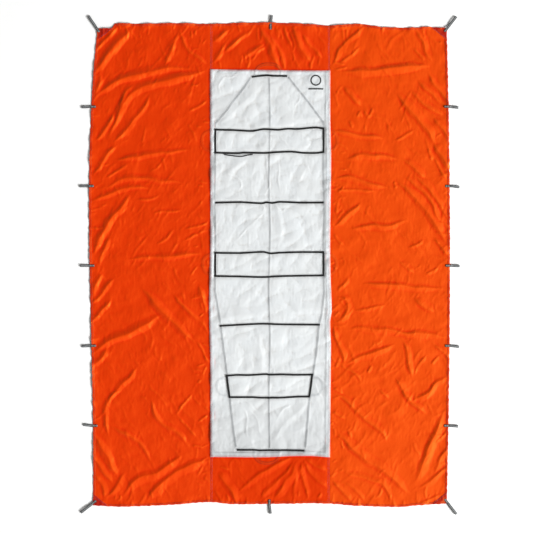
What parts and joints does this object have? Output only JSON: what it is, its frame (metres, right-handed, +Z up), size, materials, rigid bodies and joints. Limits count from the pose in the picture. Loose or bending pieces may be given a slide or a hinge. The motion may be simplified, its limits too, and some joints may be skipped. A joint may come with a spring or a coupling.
{
  "type": "bivy sack",
  "caption": "Flat-laid rescue bivy tarp: white litter panel with webbing straps and haul loops, orange side wings that fold over to wrap a person, and guy-out tabs round the hem.",
  "frame": {"origin": "on the ground, at the middle of the laid-out bivy", "axes": "+Y to the head end, +X to the right wing as seen from above, +Z up"},
  "size_m": [1.9306, 2.5379, 0.0093],
  "materials": {
    "orange_cloth": "thin coated ripstop nylon, crinkled, satin sheen",
    "litter_laminate": "translucent white fibre laminate, finely crinkled",
    "corner_patch_cloth": "doubled orange-red cloth, stitched",
    "tab_webbing": "grey woven webbing with a pale ribbed stripe and bar tacks",
    "strap_webbing": "matt black woven webbing",
    "haul_webbing": "matt black woven webbing under the cloth"
  },
  "bodies": {
    "litter": {"litter_panel": "litter_laminate", "head_panel": "orange_cloth", "foot_panel": "orange_cloth", "left_wing_seam": "orange_cloth", "right_wing_seam": "orange_cloth", "head_strap": "strap_webbing", "rib_strap": "strap_webbing", "thigh_strap": "strap_webbing", "foot_strap": "strap_webbing", "chest_strap_slack": "strap_webbing", "chest_strap_upper": "strap_webbing", "chest_strap_lower": "strap_webbing", "chest_strap_left_end": "strap_webbing", "chest_strap_right_end": "strap_webbing", "hip_strap_upper": "strap_webbing", "hip_strap_lower": "strap_webbing", "hip_strap_left_end": "strap_webbing", "hip_strap_right_end": "strap_webbing", "shin_strap_upper": "strap_webbing", "shin_strap_lower": "strap_webbing", "shin_strap_left_end": "strap_webbing", "shin_strap_right_end": "strap_webbing", "spine_webbing": "haul_webbing", "left_shoulder_webbing": "haul_webbing", "left_side_webbing": "haul_webbing", "left_leg_webbing": "haul_webbing", "right_shoulder_webbing": "haul_webbing", "right_side_webbing": "haul_webbing", "right_leg_webbing": "haul_webbing", "left_chest_handle": "haul_webbing", "left_hip_handle": "haul_webbing", "left_shin_handle": "haul_webbing", "right_chest_handle": "haul_webbing", "right_hip_handle": "haul_webbing", "right_shin_handle": "haul_webbing", "head_haul_loop": "haul_webbing", "foot_haul_loop": "haul_webbing", "head_centre_tab": "tab_webbing", "foot_centre_tab": "tab_webbing"},
    "left_wing": {"left_wing_panel": "orange_cloth", "head_left_corner_patch": "corner_patch_cloth", "foot_left_corner_patch": "corner_patch_cloth", "left_tab_1": "tab_webbing", "left_tab_2": "tab_webbing", "left_tab_3": "tab_webbing", "left_tab_4": "tab_webbing", "left_tab_5": "tab_webbing", "head_left_corner_tab": "tab_webbing", "foot_left_corner_tab": "tab_webbing"},
    "right_wing": {"right_wing_panel": "orange_cloth", "head_right_corner_patch": "corner_patch_cloth", "foot_right_corner_patch": "corner_patch_cloth", "right_tab_1": "tab_webbing", "right_tab_2": "tab_webbing", "right_tab_3": "tab_webbing", "right_tab_4": "tab_webbing", "right_tab_5": "tab_webbing", "head_right_corner_tab": "tab_webbing", "foot_right_corner_tab": "tab_webbing"}
  },
  "joints": [
    {"name": "left_wing_fold", "type": "hinge", "parent": "litter", "child": "left_wing", "pos_m": [-0.322, 0, 0.013], "axis": [0, 1, 0], "range_deg": [0, 179.5]},
    {"name": "right_wing_fold", "type": "hinge", "parent": "litter", "child": "right_wing", "pos_m": [0.322, 0, 0.024], "axis": [0, -1, 0], "range_deg": [0, 179.5]}
  ]
}
